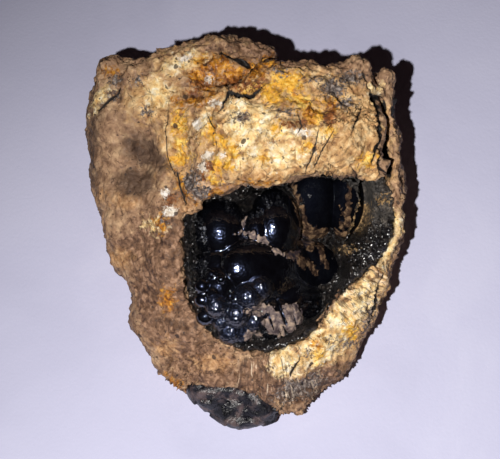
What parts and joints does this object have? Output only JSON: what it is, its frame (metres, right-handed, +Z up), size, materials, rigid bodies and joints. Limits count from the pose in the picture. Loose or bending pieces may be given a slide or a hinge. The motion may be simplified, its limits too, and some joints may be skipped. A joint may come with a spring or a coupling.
{
  "type": "limonite specimen",
  "caption": "Broken limonite geode: an earthy tan and yellow crust around an open cavity lined with glossy black botryoidal goethite, resting on a flat underside.",
  "frame": {"origin": "centre of the bounding box in plan, on the ground under the flat underside", "axes": "+Z up; +Y from the low nose end towards the high back end; +X to the right as the open cavity is looked into from the nose end"},
  "size_m": [0.065, 0.0754, 0.048],
  "materials": {
    "crust": "earthy, rough and matt",
    "lining": "glossy black, botryoidal",
    "nose": "glossy black with a brown film"
  },
  "bodies": {
    "root": {"limonite_crust": "crust", "goethite_lining": "lining", "goethite_nose": "nose"}
  },
  "joints": []
}
